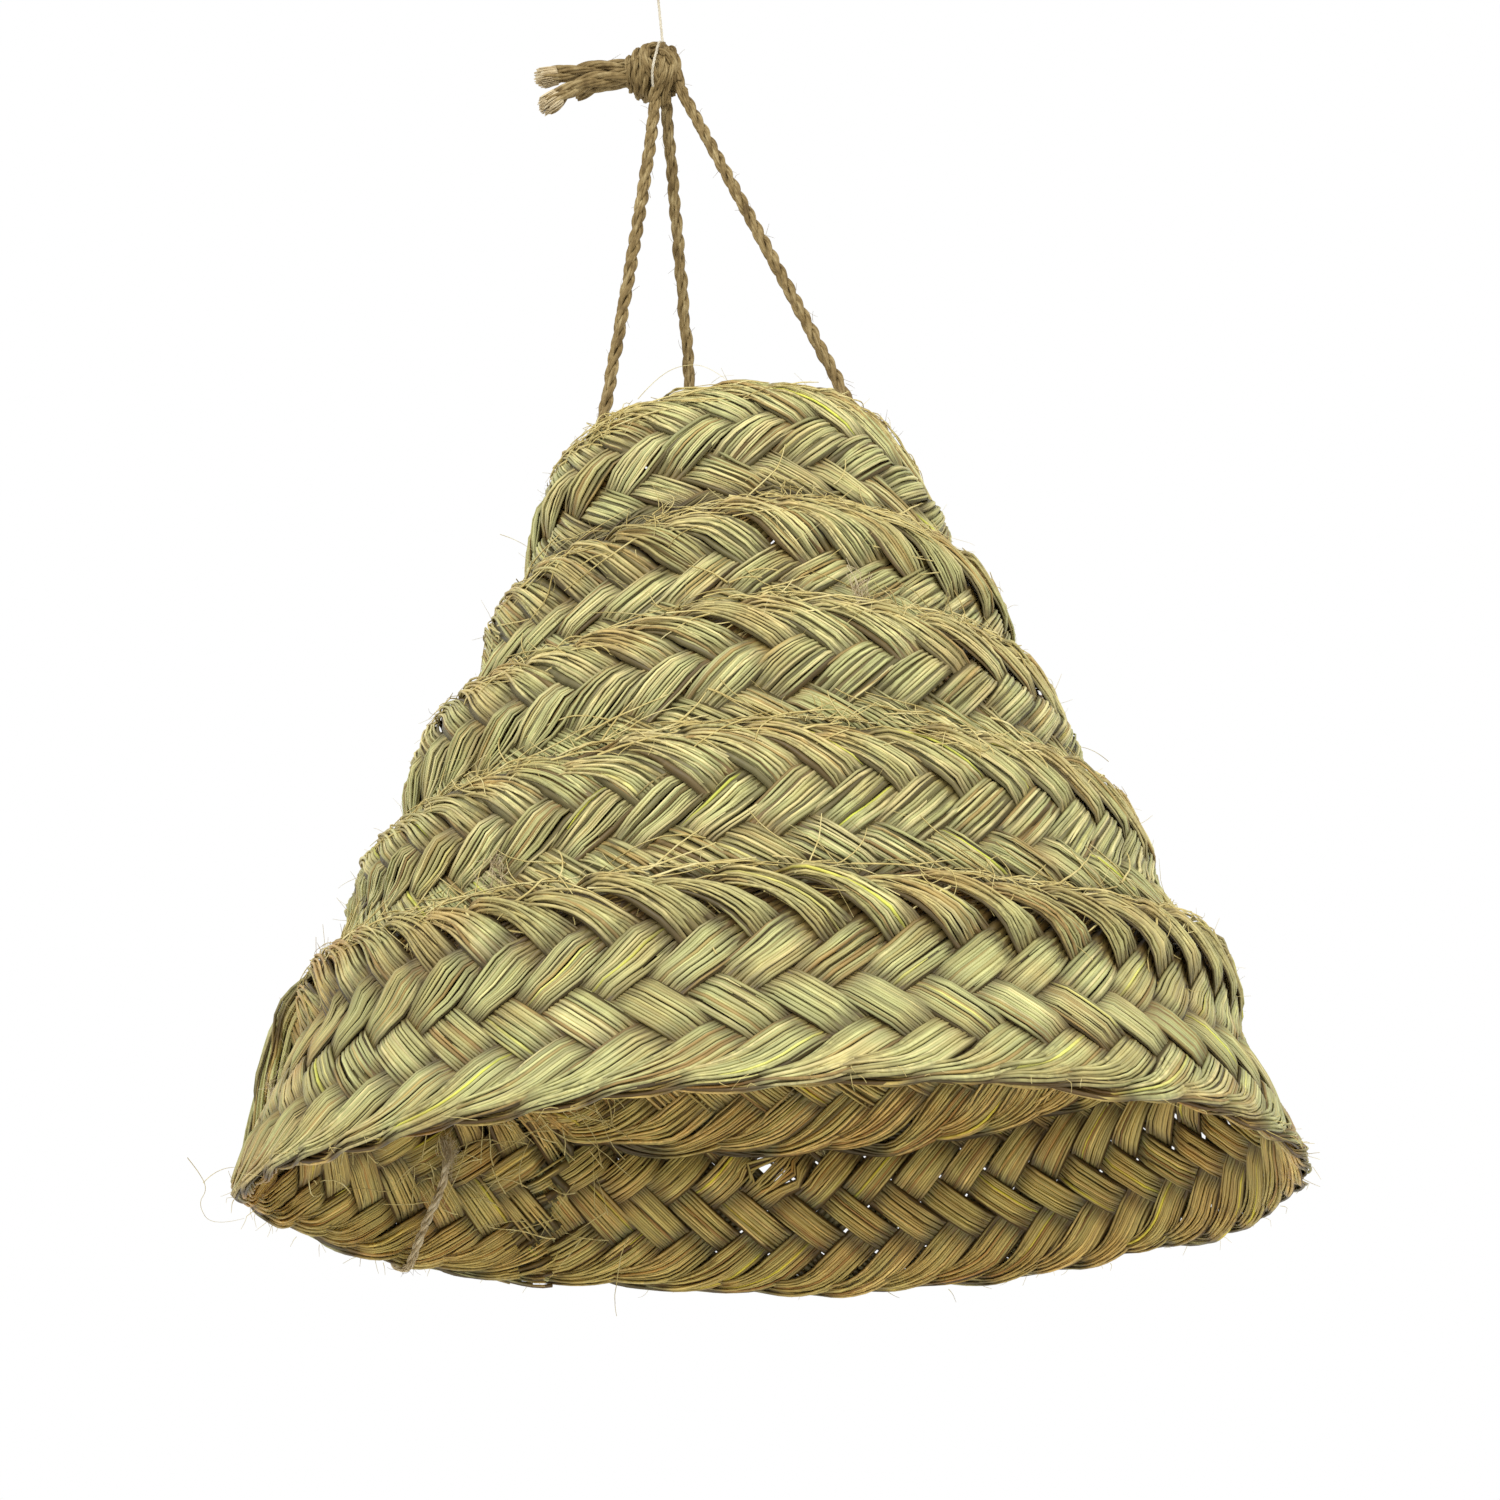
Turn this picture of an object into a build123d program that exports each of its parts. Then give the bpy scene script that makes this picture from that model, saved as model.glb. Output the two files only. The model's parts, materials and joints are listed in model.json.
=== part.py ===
from build123d import *
import os
from math import atan2, cos, degrees, hypot, pi, radians, sin, tan

# A hanging lampshade of braided esparto grass. One wide flat braid is wound into a tapered
# shade, each turn lapped over the outside of the turn above it and sewn along the lap.
# Three jute cords go up from the top rim to one knot, and a thin line holds the knot.
# The frame's +Z is the plumb line, and its origin is where a hook bears in the line's loop.
# +X is to the right and +Y is away from the viewer. Everything is in millimetres.

# Shade
BOTTOM_RADIUS = 200.0  # outside, at the lower rim
TOP_RADIUS = 69.0  # outside, at the upper rim
SHADE_HEIGHT = 312.0
STRIP_WIDTH = 86.0
STRIP_THICKNESS = 6.0
TURN_LOWER_EDGES = (0.0, 61.0, 123.0, 178.0, 250.0)  # up the slope, lowest turn first
LAP_STEP = 6.3  # how far a turn's upper edge steps out over the next turn
LAP_RAMP = 14.0  # length of the step, up the slope

# Sewing cord in each lap
SEAM_CORD_RADIUS = 1.25
SEAM_GROOVE_RADIUS = 1.35

# The strip's rise: where the end of the lowest turn climbs over the outside of its own start
RISE_FROM = -150.0  # azimuth in degrees, 0 towards the viewer, + to the right
RISE_TO = -84.0
RISE_EDGES = (5.0, 43.0)
RISE_GAP = 0.4
TIE_AZIMUTH = -128.0
TIE_RADIUS = 1.5
TIE_TOP = 56.0
TIE_GAP = 0.2
TIE_BEND = 3.2
TIE_KNOT_RADIUS = 4.5
TIE_KNOT_SLOPE = 14.0

# Hanging cords
CORD_RADIUS = 3.0
CORD_HOLE_RADIUS = 3.15
CORD_HOLE_SLOPE = 316.0  # the holes, up the slope
CORD_CLEARANCE = 0.3
CORD_AZIMUTHS = {"left": -76.0, "right": 58.0, "back": 198.0}
STOPPER_RADIUS = 7.5
STOPPER_TAIL_RADIUS = 2.6
STOPPER_TAIL_LENGTH = 30.0

# Gathering knot and the thin line that holds it
KNOT_RADIUS = 12.5
KNOT_DIRECTION = (-0.319, 0, -0.948)  # from the line's lower end to the knot's middle
KNOT_GAP = 0.65
LINE_RADIUS = 0.75
LINE_LOOP_RADIUS = 4.75  # to the middle of the line
LOOP_KNOT_RADIUS = 2.0
LINE_END_DEPTH = 44.0  # from the hook down to the gathering knot
LINE_CLEARANCE = 0.3
LINE_OFF_AXIS = -30.2  # the line's lower end from the shade's axis, along the tilted +X
LINE_BEHIND_AXIS = 1.955  # and along +Y
LINE_ABOVE_RIM = 534.9  # and above the lower rim, along the shade's axis
SHADE_TILT = 3.728  # the cords are uneven, so the shade hangs with its axis leaning to +X

os.makedirs("parts", exist_ok=True)

# The wall's inner surface is a cone. Places on it are given by slope and offset: how far up the
# slope from the lower rim, and how far out of the inner surface.
wall_angle = atan2(BOTTOM_RADIUS - TOP_RADIUS, SHADE_HEIGHT)
slope_length = hypot(BOTTOM_RADIUS - TOP_RADIUS, SHADE_HEIGHT)
inner_radius = BOTTOM_RADIUS - STRIP_THICKNESS / cos(wall_angle)

line_end = Vector(0, 0, -LINE_END_DEPTH)
shade_right = Vector(cos(radians(SHADE_TILT)), 0, -sin(radians(SHADE_TILT)))
shade_up = Vector(sin(radians(SHADE_TILT)), 0, cos(radians(SHADE_TILT)))
rim_centre = line_end - shade_right * LINE_OFF_AXIS - shade_up * LINE_ABOVE_RIM
rim_centre -= Vector(0, LINE_BEHIND_AXIS, 0)
shade = Plane(origin=rim_centre, x_dir=shade_right, z_dir=shade_up)
shade_axis = Axis(rim_centre, shade_up)


def profile_point(slope, offset):
    """A place on the wall as radius and height, in a plane through the shade's axis."""
    radius = inner_radius - slope * sin(wall_angle) + offset * cos(wall_angle)
    return radius, slope * cos(wall_angle) + offset * sin(wall_angle)


def wall_point(azimuth, slope, offset):
    """A place on the wall in the row frame."""
    radius, height = profile_point(slope, offset)
    turn = radians(azimuth)
    return shade.from_local_coords(Vector(radius * sin(turn), -radius * cos(turn), height))


def profile_plane(azimuth):
    """The plane through the shade's axis at an azimuth, with x outward and y up the axis."""
    turn = radians(azimuth)
    outward = shade_right * sin(turn) - Vector(0, cos(turn), 0)
    return Plane(origin=rim_centre, x_dir=outward, z_dir=outward.cross(shade_up))


def level_end(offset, slope):
    """The slope at which an offset is level with the wall's inner surface at another slope."""
    return slope - offset * tan(wall_angle)


def write(part, name):
    """Labels a finished piece and writes its STEP file."""
    part.label = name
    export_step(part, f"parts/{name}.step")


def cord_tube(points, radius, shortest=0.45):
    """A round cord along straight runs joined by tangent arcs as large as the runs allow."""
    points = [Vector(*p) for p in points]
    radii = []
    for before, corner, after in zip(points, points[1:], points[2:]):
        turn = radians((corner - before).get_angle(after - corner))
        run = min((corner - before).length, (after - corner).length)
        radii.append(shortest * run / tan(turn / 2))
    with BuildPart() as tube:
        with BuildLine() as route:
            if radii:
                FilletPolyline(*points, radius=radii)
            else:
                Line(*points)
        with BuildSketch(Plane(origin=points[0], z_dir=route.line % 0)):
            Circle(radius)
        sweep()
    length = sum(edge.length for edge in route.edges())
    print("cord radii", [round(r, 1) for r in radii], "length", round(length, 1),
          "volume ratio", round(tube.part.volume / (pi * radius**2 * length), 4))
    return tube.part


# Five turns of the braid, counted down from the upper rim
turn_count = len(TURN_LOWER_EDGES)
turns = {}
grooves = {}
for index, lower in enumerate(TURN_LOWER_EDGES):
    number = turn_count - index
    upper = lower + STRIP_WIDTH
    top_turn = number == 1
    if top_turn:
        inner = [(lower, 0), (slope_length, 0)]
        outer = [(level_end(STRIP_THICKNESS, slope_length), STRIP_THICKNESS)]
        outer.append((lower, STRIP_THICKNESS))
    else:
        lap = TURN_LOWER_EDGES[index + 1] - 1.0
        inner = [(lower, 0), (lap - LAP_RAMP, 0), (lap, LAP_STEP), (upper, LAP_STEP)]
        outer = [(slope, offset + STRIP_THICKNESS) for slope, offset in reversed(inner)]
    if index == 0:
        outer[-1] = (level_end(STRIP_THICKNESS, lower), STRIP_THICKNESS)
    with BuildPart() as turn:
        with BuildSketch(profile_plane(90)):
            with BuildLine():
                Polyline([profile_point(*place) for place in inner + outer], close=True)
            make_face()
        revolve(axis=shade_axis)
    turns[number] = turn.part
    if not top_turn:
        grooves[number] = (lap + 1.0 + upper) / 2

# A sewing cord runs round in each lap, in a groove that it has pressed into the outer turn
for number, slope in grooves.items():
    offset = STRIP_THICKNESS + 0.15 + SEAM_CORD_RADIUS
    rings = []
    for radius in (SEAM_GROOVE_RADIUS, SEAM_CORD_RADIUS):
        with BuildPart() as ring:
            with BuildSketch(profile_plane(90)):
                with Locations(profile_point(slope, offset)):
                    Circle(radius)
            revolve(axis=shade_axis)
        rings.append(ring.part)
    groove, cord = rings
    turns[number] = turns[number] - groove
    write(cord, f"seam_cord_{number - 1}")

# The strip's rise, outside the lowest turn
rise_inside = STRIP_THICKNESS + RISE_GAP
rise_outside = rise_inside + STRIP_THICKNESS
with BuildPart() as strip_rise:
    with BuildSketch(profile_plane(RISE_FROM)):
        with BuildLine():
            low, high = RISE_EDGES
            corners = [(low, rise_inside), (low, rise_outside), (high, rise_outside), (high, rise_inside)]
            Polyline([profile_point(*place) for place in corners], close=True)
        make_face()
    revolve(axis=shade_axis, revolution_arc=RISE_TO - RISE_FROM)
write(strip_rise.part, "strip_rise")

# A jute tie goes through the wall above the rise and round the lower rim
tie_plane = profile_plane(TIE_AZIMUTH)
tie_inside = -TIE_RADIUS - TIE_GAP
tie_outside = rise_outside + TIE_RADIUS + TIE_GAP
tie_corners = [(4.2, tie_inside), (TIE_TOP, tie_inside), (TIE_TOP, tie_outside), (1.2, tie_outside)]
tie_rings = []
for radius in (TIE_RADIUS + 0.1, TIE_RADIUS):
    with BuildPart() as tie:
        with BuildLine(tie_plane) as loop:
            FilletPolyline([profile_point(*place) for place in tie_corners], radius=TIE_BEND, close=True)
        with BuildSketch(Plane(origin=loop.line @ 0, z_dir=loop.line % 0)):
            Circle(radius)
        sweep()
    tie_rings.append(tie.part)
tie_groove, rim_tie = tie_rings
turns[turn_count] = turns[turn_count] - tie_groove
with BuildPart() as tie_knot:
    with Locations(wall_point(TIE_AZIMUTH, TIE_KNOT_SLOPE, tie_outside + TIE_KNOT_RADIUS)):
        Sphere(TIE_KNOT_RADIUS)
write(tie_knot.part - rim_tie, "rim_tie_knot")
write(rim_tie, "rim_tie")

# Hanging cords: from the knot, over the inside of the upper rim, out through the wall
knot_drop = Vector(*KNOT_DIRECTION).normalized() * (KNOT_RADIUS + 2 * LINE_RADIUS + KNOT_GAP)
knot_centre = line_end + knot_drop
inside = -CORD_RADIUS - CORD_CLEARANCE
stopper_offset = STRIP_THICKNESS + STOPPER_RADIUS + 0.1
cord_starts = {"left": (-2.7, -1.5, -9.0), "right": (10.2, -1.5, -5.5), "back": (3.45, 3.2, -9.0)}
cords = {}
for side, azimuth in CORD_AZIMUTHS.items():
    route = [
        knot_centre + Vector(*cord_starts[side]),
        wall_point(azimuth, slope_length - 2.0, inside),
        wall_point(azimuth, CORD_HOLE_SLOPE, inside),
        wall_point(azimuth, CORD_HOLE_SLOPE, stopper_offset),
    ]
    cords[side] = cord_tube(route, CORD_RADIUS)
    turns[1] = turns[1] - cord_tube(route, CORD_HOLE_RADIUS)

    with BuildPart() as stopper:
        with Locations(route[3]):
            Sphere(STOPPER_RADIUS)
        tail_offset = STRIP_THICKNESS + STOPPER_TAIL_RADIUS + 0.4
        tail_top = wall_point(azimuth, CORD_HOLE_SLOPE, tail_offset)
        tail_foot = wall_point(azimuth, CORD_HOLE_SLOPE - STOPPER_TAIL_LENGTH, tail_offset)
        with BuildSketch(Plane(origin=tail_top, z_dir=tail_foot - tail_top)):
            Circle(STOPPER_TAIL_RADIUS)
        extrude(amount=STOPPER_TAIL_LENGTH)
    write(stopper.part - cords[side], f"stopper_knot_{side}")
    write(cords[side], f"hanging_cord_{side}")

for number, turn_part in turns.items():
    write(turn_part, f"braid_turn_{number}")

# The cords' cut ends stand out of the knot's left side, one behind another
tail_routes = {
    "upper": [(-9.0, -1.5, 3.6), (-22.0, -2.5, 4.6), (-35.0, -3.5, 2.6), (-49.0, -5.0, 1.4)],
    "lower": [(-9.0, -3.0, -3.4), (-21.0, -4.5, -4.2), (-32.0, -6.0, -8.6), (-42.0, -7.5, -15.4)],
    "rear": [(-9.0, 4.6, 0.4), (-19.0, 5.6, 2.2), (-29.0, 6.4, 1.0), (-37.0, 6.0, -1.2)],
}
tails = {}
for place, offsets in tail_routes.items():
    tails[place] = cord_tube([knot_centre + Vector(*offset) for offset in offsets], CORD_RADIUS)
    write(tails[place], f"cord_tail_{place}")

with BuildPart() as knot:
    with Locations(knot_centre):
        Sphere(KNOT_RADIUS)
knot_part = knot.part
for cord_part in [*cords.values(), *tails.values()]:
    knot_part = knot_part - cord_part
write(knot_part, "gathering_knot")

# The thin line is tied round the knot, runs straight up and ends in a loop for a hook
tie_radius = KNOT_RADIUS + LINE_RADIUS + 0.1
upward = (line_end - knot_centre).normalized()
tie_normal = upward.cross(Vector(-4.6, -8.5, -8.0)).normalized()
with BuildPart(Plane(origin=knot_centre, x_dir=upward, z_dir=tie_normal)) as line_tie:
    Torus(tie_radius, LINE_RADIUS)
line_tie_part = line_tie.part
for cord_part in [*cords.values(), *tails.values()]:
    line_tie_part = line_tie_part - cord_part
write(line_tie_part, "line_tie")

loop_centre = Vector(0, 0, LINE_RADIUS - LINE_LOOP_RADIUS)
with BuildPart(Plane(origin=loop_centre, z_dir=(0, 1, 0))) as hang_loop:
    Torus(LINE_LOOP_RADIUS, LINE_RADIUS)
write(hang_loop.part, "hang_loop")

loop_foot = loop_centre.Z - LINE_LOOP_RADIUS - LINE_RADIUS
pivot_z = loop_foot - LINE_CLEARANCE - LOOP_KNOT_RADIUS
with BuildPart() as loop_knot:
    with Locations((0, 0, pivot_z)):
        Sphere(LOOP_KNOT_RADIUS)
write(loop_knot.part, "loop_knot")

line_top = pivot_z - LOOP_KNOT_RADIUS - LINE_CLEARANCE
with BuildPart() as hang_line:
    with BuildSketch(Plane.XY.offset(line_end.Z)):
        Circle(LINE_RADIUS)
    extrude(amount=line_top - line_end.Z)
write(hang_line.part, "hang_line")

print("slope", round(slope_length, 1), "wall angle", round(degrees(wall_angle), 2),
      "pivot z", round(pivot_z, 2), "rim centre", rim_centre, "knot centre", knot_centre)
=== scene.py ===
"""A hanging lampshade of braided esparto grass, seen from below.

The shade is one wide flat braid, wound into a tapered spiral. Each turn's upper edge laps over
the outside of the turn above it. Three jute cords meet in a knot, held up by a thin line.
Lengths in this script are millimetres, and meshes are written in metres.
"""

import json
from math import atan2, cos, hypot, pi, radians, sin, sqrt, tan

import bpy
import numpy as np
from mathutils import Matrix, Vector


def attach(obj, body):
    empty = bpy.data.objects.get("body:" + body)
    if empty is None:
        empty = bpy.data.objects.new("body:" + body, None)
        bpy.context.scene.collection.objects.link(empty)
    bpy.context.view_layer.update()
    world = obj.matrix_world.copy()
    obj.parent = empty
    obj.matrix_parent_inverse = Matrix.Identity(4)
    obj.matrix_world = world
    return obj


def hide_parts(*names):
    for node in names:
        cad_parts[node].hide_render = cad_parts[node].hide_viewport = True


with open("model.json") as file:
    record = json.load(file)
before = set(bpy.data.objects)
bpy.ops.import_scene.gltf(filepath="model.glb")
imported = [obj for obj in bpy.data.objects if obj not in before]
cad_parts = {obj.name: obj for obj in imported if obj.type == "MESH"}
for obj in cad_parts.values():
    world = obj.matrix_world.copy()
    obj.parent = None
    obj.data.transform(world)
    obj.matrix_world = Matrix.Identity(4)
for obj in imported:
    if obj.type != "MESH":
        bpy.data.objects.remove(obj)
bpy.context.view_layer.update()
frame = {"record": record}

MM = 0.001

# The shade's cone, as in the CAD model
BOTTOM_RADIUS = 200.0
TOP_RADIUS = 69.0
SHADE_HEIGHT = 312.0
WALL_THICKNESS = 6.0
WALL_ANGLE = atan2(BOTTOM_RADIUS - TOP_RADIUS, SHADE_HEIGHT)
INNER_RADIUS = BOTTOM_RADIUS - WALL_THICKNESS / cos(WALL_ANGLE)

mounts = {mount["name"]: mount for mount in frame["record"]["mounts"]}
shade_up = Vector(mounts["top_opening"]["axis"]).normalized()
shade_right = Vector((shade_up.z, 0, -shade_up.x))
rim_centre = Vector(mounts["top_opening"]["pos_m"]) / MM - shade_up * SHADE_HEIGHT
SHADE_AXES = np.array([shade_right, (0, 1, 0), shade_up])
RIM_CENTRE = np.array(rim_centre)


def to_row(points):
    """Places in the shade's own axes, given in the row frame."""
    return np.asarray(points, float) @ SHADE_AXES + RIM_CENTRE


def wall(azimuth, slope, offset):
    """Places on the wall: azimuth in degrees, slope up the wall and offset out of its inner face."""
    turn = np.radians(azimuth)
    radius = INNER_RADIUS - slope * sin(WALL_ANGLE) + offset * cos(WALL_ANGLE)
    height = slope * cos(WALL_ANGLE) + offset * sin(WALL_ANGLE)
    return to_row(np.stack([radius * np.sin(turn), -radius * np.cos(turn), height], axis=-1))


def wall_normal(azimuth):
    """The wall's outward direction."""
    turn = np.radians(azimuth)
    out = np.stack([np.sin(turn), -np.cos(turn), np.full_like(turn, tan(WALL_ANGLE))], axis=-1)
    return (out * cos(WALL_ANGLE)) @ SHADE_AXES


# ---- camera, light and stage

CAMERA_PLACE = (0.0, -915.486, -176.345)  # in the shade's own axes
CAMERA_YAW = -0.0017
CAMERA_PITCH = 0.3770
CAMERA_ROLL = -0.0347
CAMERA_FOCAL = 2429.47 / 1500 * 36  # on a 36 mm wide sensor

level_share = cos(CAMERA_PITCH)
camera_ahead = Vector((sin(CAMERA_YAW) * level_share, cos(CAMERA_YAW) * level_share, sin(CAMERA_PITCH)))
level_right = Vector((cos(CAMERA_YAW), -sin(CAMERA_YAW), 0))
level_up = level_right.cross(camera_ahead)
camera_right = level_right * cos(CAMERA_ROLL) + level_up * sin(CAMERA_ROLL)
camera_up = level_up * cos(CAMERA_ROLL) - level_right * sin(CAMERA_ROLL)

camera_data = bpy.data.cameras.new("camera")
camera_data.sensor_width = 36
camera_data.lens = CAMERA_FOCAL
camera_data.clip_start = 0.01
camera = bpy.data.objects.new("camera", camera_data)
bpy.context.scene.collection.objects.link(camera)
axes = [Vector(np.array(v) @ SHADE_AXES) for v in (camera_right, camera_up, -camera_ahead)]
camera_place = Matrix.Translation(Vector(to_row(CAMERA_PLACE)) * MM)
camera.matrix_world = camera_place @ Matrix(axes).transposed().to_4x4()
bpy.context.scene.camera = camera
bpy.context.scene.view_settings.view_transform = "Standard"

world = bpy.data.worlds.new("world")
bpy.context.scene.world = world
world.use_nodes = True
background = world.node_tree.nodes["Background"]
background.inputs["Color"].default_value = (1, 1, 1, 1)
background.inputs["Strength"].default_value = 1.0


def area_light(name, place, size, power):
    """A soft square light at a place in metres, turned to the shade's middle."""
    data = bpy.data.lights.new(name, "AREA")
    data.size = size
    data.energy = power
    light = bpy.data.objects.new(name, data)
    light.location = place
    light.rotation_euler = (LIGHT_AIM - Vector(place)).to_track_quat("-Z", "Y").to_euler()
    bpy.context.scene.collection.objects.link(light)


LIGHT_AIM = Vector((0, 0, -0.42))
area_light("key_light", (-0.8, -2.1, 0.9), 1.2, 42)
area_light("fill_light", (1.6, -1.5, 0.1), 1.4, 19)

FLOOR_Z = -1.25  # metres, well below the hanging shade
bpy.ops.mesh.primitive_plane_add(size=12, location=(0, 0, FLOOR_Z))
floor = bpy.context.object
floor.name = "floor"
floor_material = bpy.data.materials.new("floor")
floor_material.use_nodes = True
floor_shader = floor_material.node_tree.nodes["Principled BSDF"]
floor_shader.inputs["Base Color"].default_value = (0.9, 0.9, 0.9, 1)
floor.data.materials.append(floor_material)


# ---- mesh helpers


def unit(vectors):
    """Vectors at length one."""
    return vectors / np.maximum(np.linalg.norm(vectors, axis=-1, keepdims=True), 1e-9)


def new_mesh(name, points, faces, attributes, body="shade"):
    """A smooth mesh object from points in millimetres and faces that all have as many corners."""
    mesh = bpy.data.meshes.new(name)
    mesh.vertices.add(len(points))
    mesh.vertices.foreach_set("co", (np.asarray(points) * MM).astype(np.float32).ravel())
    corners = faces.shape[1]
    mesh.loops.add(faces.size)
    mesh.loops.foreach_set("vertex_index", faces.astype(np.int32).ravel())
    mesh.polygons.add(len(faces))
    mesh.polygons.foreach_set("loop_start", np.arange(0, faces.size, corners, dtype=np.int32))
    mesh.polygons.foreach_set("use_smooth", np.ones(len(faces), bool))
    mesh.update(calc_edges=True)
    for key, values in attributes.items():
        kind, field = ("FLOAT", "value") if values.ndim == 1 else ("FLOAT_VECTOR", "vector")
        layer = mesh.attributes.new(key, kind, "POINT")
        layer.data.foreach_set(field, values.astype(np.float32).ravel())
    thing = bpy.data.objects.new(name, mesh)
    bpy.context.scene.collection.objects.link(thing)
    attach(thing, body)
    return thing


def tube_rings(lines, side, out, half_width, half_height, corners):
    """Rings of points round many lines at once. lines, side and out are (count, steps, 3)."""
    angle = 2 * pi * np.arange(corners) / corners
    ring = side[:, :, None] * (np.cos(angle)[:, None] * half_width[:, :, None, None])
    ring = ring + out[:, :, None] * (np.sin(angle)[:, None] * half_height[:, :, None, None])
    return lines[:, :, None] + ring


def tube_faces(count, steps, corners, joined):
    """Faces of tubes whose rings are numbered in order. joined (count, steps - 1) says which
    rings have a tube to the next ring, and each run of tube is closed at both ends."""
    first = (np.arange(count * steps) * corners).reshape(count, steps)
    corner = np.arange(corners)
    following = (corner + 1) % corners
    start = first[:, :-1][joined][:, None]
    end = first[:, 1:][joined][:, None]
    sides = np.stack([start + corner, start + following, end + following, end + corner], axis=-1)
    sides = sides.reshape(-1, 4)
    before = np.zeros((count, 1), bool)
    tails = first[np.hstack([joined, before]) & ~np.hstack([before, joined])]
    heads = first[np.hstack([before, joined]) & ~np.hstack([joined, before])]
    caps = []
    for low in range(0, corners - 2, 2):
        quad = np.array([0, low + 1, low + 2, min(low + 3, corners - 1)])
        if quad[2] == quad[3]:
            continue
        caps.append(tails[:, None] + quad[::-1])
        caps.append(heads[:, None] + quad)
    return np.vstack([sides, *caps])


# ---- the braid

STRIP_WIDTH = 86.0
STRAND_COUNT = 11
STRAND_PITCH = 22.9  # from one strand to the next, along the strip
BRAID_ANGLE = radians(40)
EDGE_BEND = 45.0  # radius at which a strand turns back at the strip's edge
EDGE_MARGIN = 4.0  # from the strip's edge to the middle of a turning strand
BUNDLE_WIDTH = STRAND_PITCH * sin(BRAID_ANGLE)
EDGE_BUNDLE_WIDTH = 5.6
BLADES = 15  # seen in a strand
UNDER_BLADES = 5  # wider ones beneath them, which close the gaps, coloured dark as painted shade
LAYER_RISE = 1.75  # from the strip's middle to a strand's middle
HALF_PERIOD = STRAND_COUNT * STRAND_PITCH / 2
STEP_LENGTH = 4.4  # between rings of a blade

# The upper edge of each turn up the wall, lowest turn first, by azimuth. A turn runs nearly level
# from its first azimuth to its last and then climbs to the next turn's first.
UPPER_EDGES = (
    ((-85, 87), (-60, 85), (-30, 81), (0, 80), (30, 77), (60, 84), (100, 86), (150, 86), (208, 86)),
    ((-85, 141), (-60, 138), (-30, 141), (0, 146), (30, 146), (50, 150), (90, 149), (150, 147), (208, 147)),
    ((-85, 201), (-45, 198), (-25, 200), (0, 210), (30, 209), (60, 212), (100, 212), (150, 209), (208, 209)),
    ((-85, 256), (-45, 256), (-20, 256), (0, 265), (30, 264), (60, 260), (100, 262), (150, 264), (208, 266)),
    ((-85, 332), (-45, 330), (-13, 336), (6, 339), (40, 336), (60, 324), (100, 327), (150, 333), (208, 334)),
)
# The lower edge of the lowest turn, which sags at the front left, and of the climb to the next
RIM_EDGE = (
    (-150, 1), (-120, 3), (-92, 4), (-70, -3), (-46, -8.5), (-28, -7), (-10, -3.5), (20, -3), (45, -1),
    (80, -3), (110, -5), (150, -5.5), (172, -5), (192, -1), (212, 1),
    (235, 2), (249, 4), (257, 10), (263, 20), (268, 32), (274, 50), (279, 70), (284, 86), (290, 84),
    (302, 66), (318, 57),
)
# How far the wall stands out of the even cone at its left and right, by slope
LEFT_SWELL = (
    (0, 0), (15, 4), (40, 3), (100, 3), (118, 4), (150, 0), (180, 4), (205, 0), (235, 0), (255, -2),
    (285, 3), (338, 3),
)
RIGHT_SWELL = (
    (0, 1), (30, 3), (55, 2), (85, 6), (100, 5), (125, 1), (150, 0), (190, -4), (225, -4), (260, -3),
    (280, -3), (300, -7), (338, -8),
)
CLIMB_START = -150.0  # the strip's first end
CLIMB_END = 278.0 + 360 * 4  # the strip's last end


def smooth_table(knots, start, end, spread=5.0):
    """A smooth curve near the straight runs between knots, one value a degree."""
    places_out = np.arange(start - 30, end + 31)
    places, values = np.array(knots, float).T
    raw = np.interp(places_out, places, values)
    reach = np.arange(-15, 16)
    weights = np.exp(-0.5 * (reach / spread) ** 2)
    smooth = np.convolve(raw, weights / weights.sum(), mode="same")
    return places_out[20:-20], smooth[20:-20]


upper_knots = [(CLIMB_START, 80), (-120, 83)]
for turn_index, turn_knots in enumerate(UPPER_EDGES):
    upper_knots += [(place + 360 * turn_index, value) for place, value in turn_knots]
upper_knots.append((CLIMB_END, 332))
UPPER_TABLE = smooth_table(upper_knots, CLIMB_START, CLIMB_END)
lower_knots = list(RIM_EDGE)
for place, value in upper_knots:
    if place > RIM_EDGE[-1][0] + 8:
        lower_knots.append((place, value - STRIP_WIDTH))
LOWER_TABLE = smooth_table(lower_knots, CLIMB_START, CLIMB_END, 4.0)


def upper_edge(winding):
    """How far up the wall the strip's upper edge is."""
    return np.interp(winding, *UPPER_TABLE)


def lower_edge(winding):
    """How far up the wall the strip's lower edge is."""
    return np.interp(winding, *LOWER_TABLE)


def smooth_step(value, low, high):
    """0 below low, 1 above high and an even S-curve between."""
    share = np.clip((value - low) / (high - low), 0, 1)
    return share * share * (3 - 2 * share)


# Distance along the strip's middle, by winding angle
WINDING_STEP = 0.5
WINDINGS = np.arange(CLIMB_START, CLIMB_END + WINDING_STEP, WINDING_STEP)
middle_slope = (upper_edge(WINDINGS) + lower_edge(WINDINGS)) / 2
middle_radius = INNER_RADIUS - middle_slope * sin(WALL_ANGLE) + WALL_THICKNESS / 2 * cos(WALL_ANGLE)
DISTANCES = np.concatenate([[0], np.cumsum(np.radians(WINDING_STEP) * middle_radius[1:])])
STRIP_LENGTH = DISTANCES[-1]


def wall_swell(azimuth, slope):
    """How far the wall stands out of the even cone."""
    turn = np.radians(azimuth)
    left = np.clip(-np.sin(turn), 0, 1) ** 2 * np.interp(slope, *np.transpose(LEFT_SWELL))
    right = np.clip(np.sin(turn), 0, 1) ** 4 * np.interp(slope, *np.transpose(RIGHT_SWELL))
    return left + right


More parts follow.
